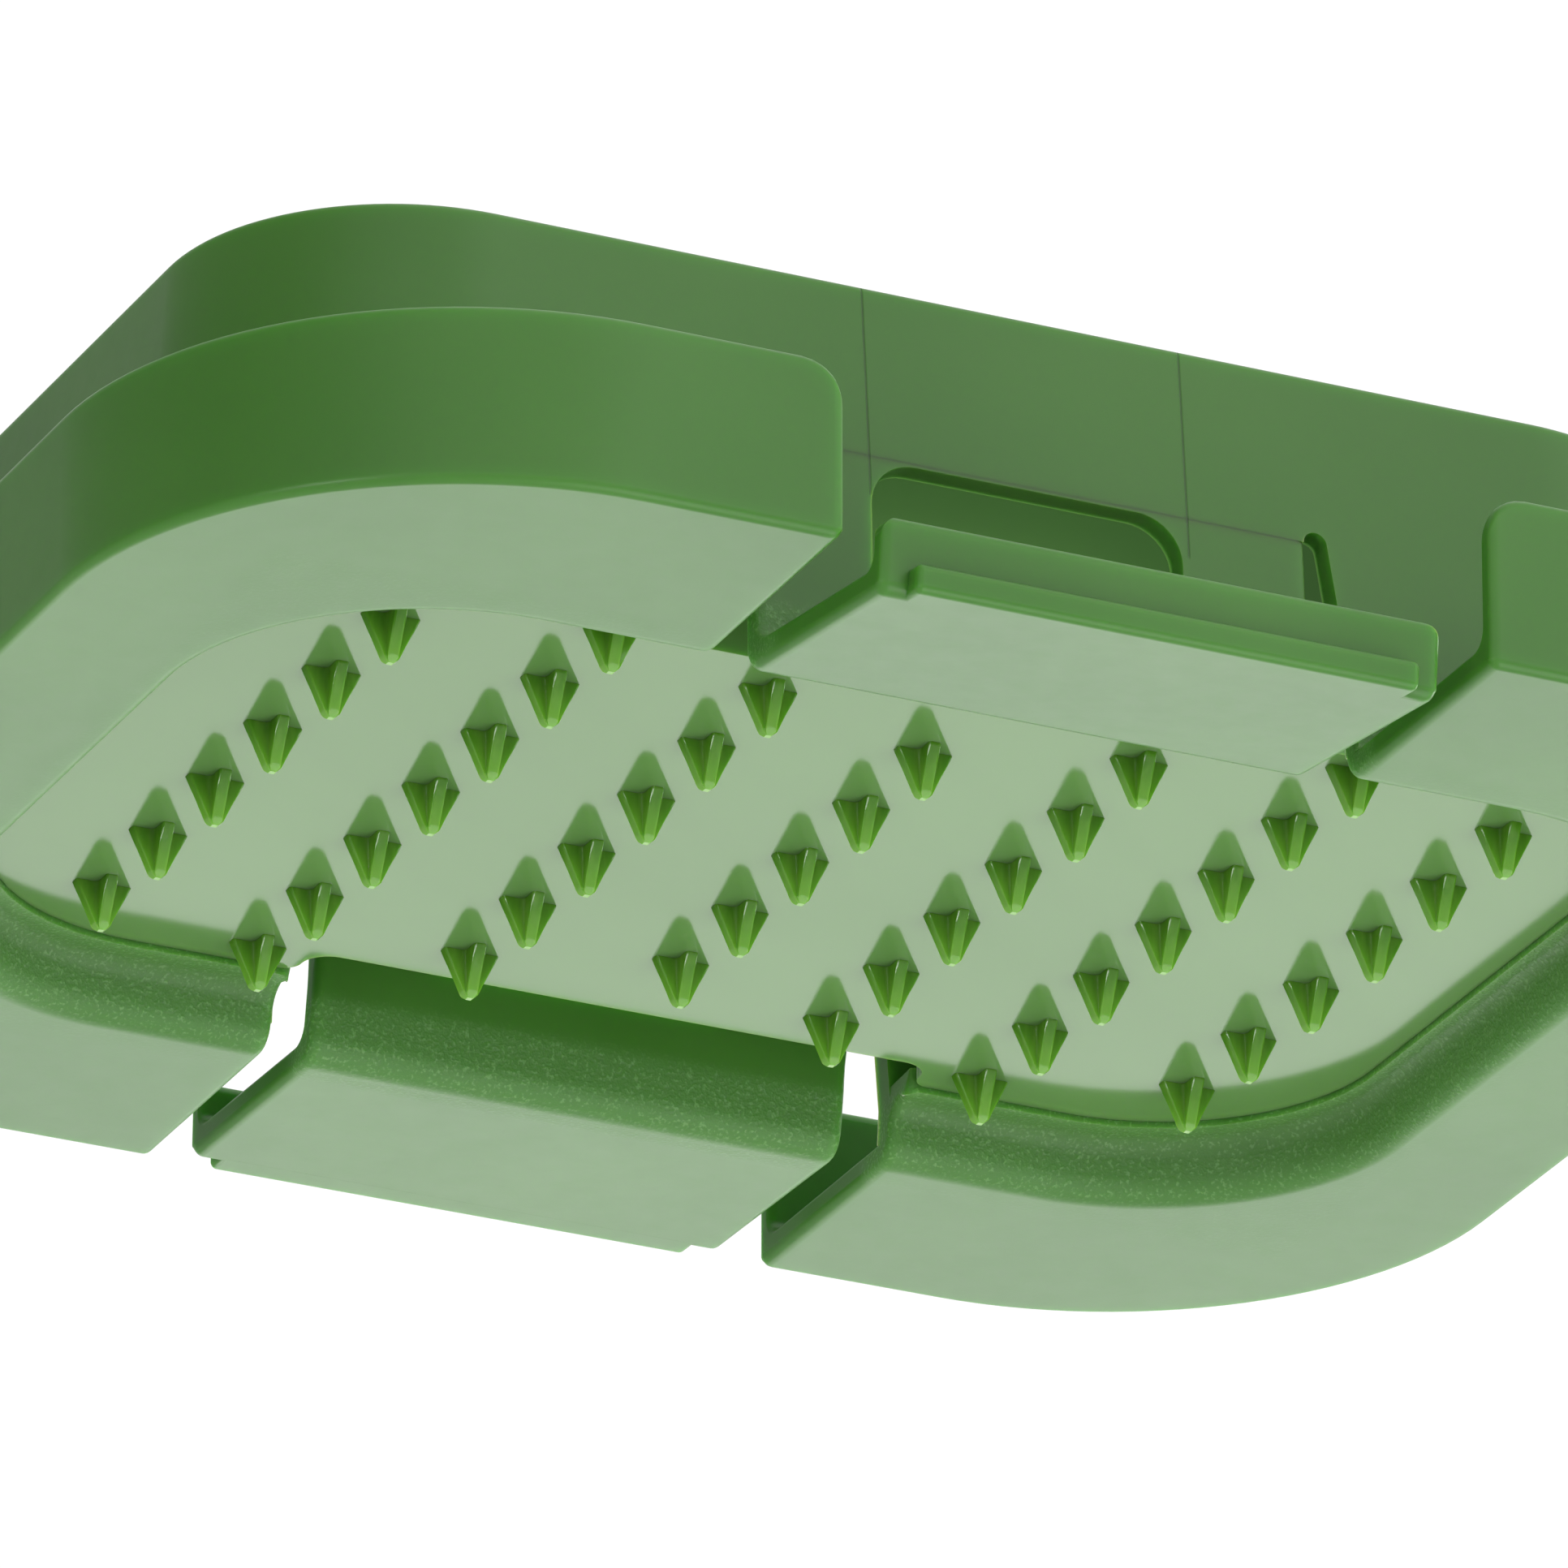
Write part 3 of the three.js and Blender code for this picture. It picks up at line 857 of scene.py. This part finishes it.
WITNESS_X = 12.15
WITNESS_SHIFT = 0.14
SATIN_DARK = rgb(0.060, 0.200, 0.022)
SATIN_LIGHT = rgb(0.074, 0.228, 0.030)
SCATTER = (0.8, 1.5, 0.35)
BLACK = rgb(0.0, 0.0, 0.0)
HOLLOW_PAINTED_LIGHT = rgb(0.034, 0.074, 0.023)


def hollow(s, height, width, depth):
    """1 on what faces the closed hollow above the plate, where the walls let some light through;
    there that light is painted on as emission.
    """
    above = s.ramp(height, PLATE_TOP - 0.3, PLATE_TOP + 0.6)
    above = above * s.ramp(height, ROOF_BOTTOM + 0.6, ROOF_BOTTOM + 0.1)
    radius = BLOCK_CORNER - BLOCK_WALL
    draft = (height - FLANGE_TOP) * BLOCK_DRAFT
    corner_x = RECESS_X + BLOCK_STAND_OUT - BLOCK_WALL - radius
    corner_y = RECESS_Y - BLOCK_STAND_IN - BLOCK_WALL - radius
    past_x = s.math("MAXIMUM", width - corner_x + draft, 0.0)
    past_y = s.math("MAXIMUM", depth - corner_y + draft, 0.0)
    outside = s.math("SQRT", past_x * past_x + past_y * past_y) - radius
    return above * s.ramp(outside, 0.4, 0.1)


def satin_green():
    """Moulded body plastic: satin, with fine grain and painted sparkle in the recess, witness lines
    by the windows with painted shade in them, and painted light in the hollow.
    """
    s = Shader("satin_green")
    place, (x, y, z) = s.position()
    height, width, depth = s.spans(x, y, z)
    inside = s.ramp(width, RECESS_X + 0.8, RECESS_X - 0.4)
    inside = inside * s.ramp(depth, RECESS_Y + 1.5, RECESS_Y - 0.2)
    grain_and_sparkle_area = inside * s.ramp(height, 1.0, -0.7)
    grain_and_sparkle_area = grain_and_sparkle_area * s.ramp(height, FLANGE_BOTTOM - 0.1, FLANGE_BOTTOM + 0.5)
    grain = s.noise(place, 0.30, 1.5, 0.6)
    skin = s.noise(place, 2.2, 3.0, 0.55)
    cloud = s.noise(place, 34.0, 2.0, 0.5)
    aside = s.math("ABSOLUTE", s.math("ABSOLUTE", x * 1000.0 + WITNESS_SHIFT) - WITNESS_X)
    line = s.ramp(aside, 0.02, 0.13, 1.0, 0.0)
    line = line * s.ramp(height, WINDOW_TOP - 3.0, WINDOW_TOP - 2.6) * s.ramp(depth, 33.5, 34.5)
    line = line * s.ramp(height, BLOCK_TOP + 0.1, BLOCK_TOP - 0.1)
    colour = s.mix(s.ramp(cloud, 0.3, 0.7), SATIN_DARK, SATIN_LIGHT)
    # The grained recess is made lighter in colour, and its pale specks are painted sparkle, painted
    # glints over the real grain of the bump.
    colour = s.mix(grain_and_sparkle_area * 0.75, colour, rgb(0.098, 0.262, 0.055))
    colour = s.mix(grain_and_sparkle_area * s.ramp(grain, 0.52, 0.72, 0.0, 0.6), colour, rgb(0.22, 0.42, 0.15))
    # The witness lines are a real groove in the bump; their darkening is painted shade in the groove.
    colour = s.mix(line * 0.55, colour, rgb(0.02, 0.06, 0.01))
    rough = 0.30 + 0.08 * skin + 0.16 * grain_and_sparkle_area
    relief = s.bump(grain * grain_and_sparkle_area, 0.00012, 0.8)
    relief = s.bump(skin, 0.00003, 0.22, relief)
    relief = s.bump(1.0 - line, 0.0001, 0.6, relief)
    # Painted light: emission on what faces the hollow stands in for light coming through the walls.
    glow = s.mix(hollow(s, height, width, depth), BLACK, HOLLOW_PAINTED_LIGHT)
    return s.finish(Base_Color=colour, Roughness=rough, Normal=relief, IOR=1.49,
                    Subsurface_Weight=0.85, Subsurface_Radius=SCATTER, Subsurface_Scale=0.0028,
                    Emission_Strength=1.0, Emission_Color=glow)


def plate_green():
    """Polished plate: a glossy surface with a very slight wave from moulding."""
    s = Shader("plate_green")
    place, (x, y, z) = s.position()
    cloud = s.noise(place, 40.0, 2.0, 0.5)
    wave = s.noise(place, 26.0, 1.0, 0.4, stretch=(0.35, 1.6, 1.0))
    skin = s.noise(place, 1.4, 3.0, 0.5)
    colour = s.mix(s.ramp(cloud, 0.3, 0.7), rgb(0.118, 0.262, 0.068), rgb(0.132, 0.285, 0.078))
    relief = s.bump(wave, 0.0006, 0.10)
    relief = s.bump(skin, 0.00002, 0.10, relief)
    height, width, depth = s.spans(x, y, z)
    # Painted light: emission on what faces the hollow stands in for light coming through the walls.
    glow = s.mix(hollow(s, height, width, depth), BLACK, HOLLOW_PAINTED_LIGHT)
    return s.finish(Base_Color=colour, Roughness=0.07 + 0.05 * cloud, Normal=relief, IOR=1.37,
                    Subsurface_Weight=0.6, Subsurface_Radius=SCATTER, Subsurface_Scale=0.002,
                    Emission_Strength=1.0, Emission_Color=glow)


def pin_green():
    """Pins: the same plastic; the glow of light through the thin tip is painted on as a lighter
    colour towards the tip.
    """
    s = Shader("pin_green")
    place, (_, _, z) = s.position()
    down = s.ramp(z * 1000.0 - PLATE_Z, 0.2, -PIN_HEIGHT)
    streak = s.noise(place, 0.8, 2.0, 0.5, stretch=(1.0, 1.0, 0.25))
    # Painted light: the colour grows lighter towards the tip for the light that shines through the
    # thin plastic there.
    colour = s.mix(down, rgb(0.075, 0.230, 0.012), rgb(0.180, 0.440, 0.035))
    colour = s.mix(0.25 * s.ramp(streak, 0.35, 0.75), colour, rgb(0.22, 0.46, 0.06))
    relief = s.bump(streak, 0.00008, 0.35)
    return s.finish(Base_Color=colour, Roughness=0.10 + 0.08 * streak, Normal=relief, IOR=1.5,
                    Subsurface_Weight=0.5, Subsurface_Radius=SCATTER, Subsurface_Scale=0.0009)


def floor_white():
    s = Shader("floor_white")
    place, _ = s.position()
    speck = s.noise(place, 60.0, 3.0, 0.6)
    colour = s.mix(speck, rgb(0.90, 0.90, 0.895), rgb(0.93, 0.93, 0.93))
    return s.finish(Base_Color=colour, Roughness=0.6)


# ---------------------------------------------------------------- the object

satin = satin_green()

body = guard_body()
body.data.materials.clear()
body.data.materials.append(satin)
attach(body, "guard")
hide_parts("guard_body")

plate = pin_plate()
plate.data.materials.append(plate_green())
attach(plate, "guard")
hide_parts("pin_plate")

pins = pin_array(pin_green())
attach(pins, "guard")

CLIPS = (("clip_far_tongue", 1, FAR_SET, "clip_far", "far_clip"),
         ("clip_near_tongue", -1, NEAR_SET, "clip_near", "near_clip"))
for name, side, angle, node_name, owner in CLIPS:
    clip = snap_clip(name, side, angle)
    clip.data.materials.clear()
    clip.data.materials.append(satin)
    root = side * (block_y(SLOT_TOP) - BLOCK_WALL / 2) + MIDDLE_Y
    root * MM
    root * MM
    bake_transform(clip)
    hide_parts(node_name)


# ---------------------------------------------------------------- floor, light and camera

# Metres
FLOOR_Z = -1.3
FLOOR_HALF = 9
floor_mesh = bpy.data.meshes.new("floor")
floor_corners = [(x * FLOOR_HALF, y * FLOOR_HALF, FLOOR_Z)
                 for x, y in ((-1, -1), (1, -1), (1, 1), (-1, 1))]
floor_mesh.from_pydata(floor_corners, [], [(0, 1, 2, 3)])
floor = bpy.data.objects.new("floor", floor_mesh)
floor_mesh.materials.append(floor_white())
bpy.context.scene.collection.objects.link(floor)

DARK_SIDE = (-0.72, 0.30, 0.45)


def studio_world():
    """White to the camera; to everything else a soft room that is darker on one side."""
    world = bpy.data.worlds.new("studio")
    bpy.context.scene.world = world
    world.use_nodes = True
    tree = world.node_tree
    coordinates = tree.nodes.new("ShaderNodeTexCoord")
    towards = tree.nodes.new("ShaderNodeVectorMath")
    towards.operation = "DOT_PRODUCT"
    tree.links.new(coordinates.outputs["Generated"], towards.inputs[0])
    towards.inputs[1].default_value = Vector(DARK_SIDE).normalized()
    side = tree.nodes.new("ShaderNodeMapRange")
    side.interpolation_type = "SMOOTHSTEP"
    for key, value in (("From Min", 0.90), ("From Max", 0.25), ("To Min", 0.25), ("To Max", 0.90)):
        side.inputs[key].default_value = value
    tree.links.new(towards.outputs["Value"], side.inputs["Value"])
    seen = tree.nodes.new("ShaderNodeLightPath")
    choose = tree.nodes.new("ShaderNodeMix")
    tree.links.new(seen.outputs["Is Camera Ray"], choose.inputs[0])
    tree.links.new(side.outputs[0], choose.inputs[2])
    choose.inputs[3].default_value = 1.05
    tree.links.new(choose.outputs[0], tree.nodes["Background"].inputs["Strength"])
    tree.nodes["Background"].inputs["Color"].default_value = rgb(1.0, 1.0, 1.0)


studio_world()
bpy.context.scene.view_settings.view_transform = "Standard"


def soft_box(name, place, size, radiance):
    """A rectangular light that faces the guard; radiance 1 is as bright as white paper."""
    light = bpy.data.lights.new(name, "AREA")
    light.shape = "RECTANGLE"
    light.size, light.size_y = size
    light.energy = radiance * math.pi * size[0] * size[1]
    lamp = bpy.data.objects.new(name, light)
    lamp.location = place
    lamp.rotation_euler = (-Vector(place)).to_track_quat("-Z", "Y").to_euler()
    bpy.context.scene.collection.objects.link(lamp)


soft_box("low_back", (0.50, 1.08, -0.54), (1.5, 0.75), 1.72)
soft_box("front_right", (1.0, -1.5, 0.75), (1.5, 1.5), 0.45)
soft_box("low_front", (0.50, -0.55, -0.80), (1.0, 0.7), 1.5)
soft_box("glint_left", (-1.15, -0.70, -0.28), (0.20, 0.30), 9.0)
soft_box("glint_right", (1.30, 0.46, 0.16), (0.50, 0.70), 6.5)


# Metres and radians
AIM = Vector((-6.5, -11.2 + MIDDLE_Y, PLATE_Z)) * MM
AZIMUTH = math.radians(-25.12)
ELEVATION = math.radians(-24.14)
DISTANCE = 1.27

camera_data = bpy.data.cameras.new("camera")
camera_data.sensor_width = 36.0
camera_data.lens = 419.3
camera_data.clip_start = 0.05
camera_data.clip_end = 50.0
camera = bpy.data.objects.new("camera", camera_data)
back = Vector((math.sin(AZIMUTH) * math.cos(ELEVATION),
               -math.cos(AZIMUTH) * math.cos(ELEVATION),
               math.sin(ELEVATION)))
camera.location = AIM + back * DISTANCE
camera.rotation_euler = (-back).to_track_quat("-Z", "Y").to_euler()
bpy.context.scene.collection.objects.link(camera)
bpy.context.scene.camera = camera
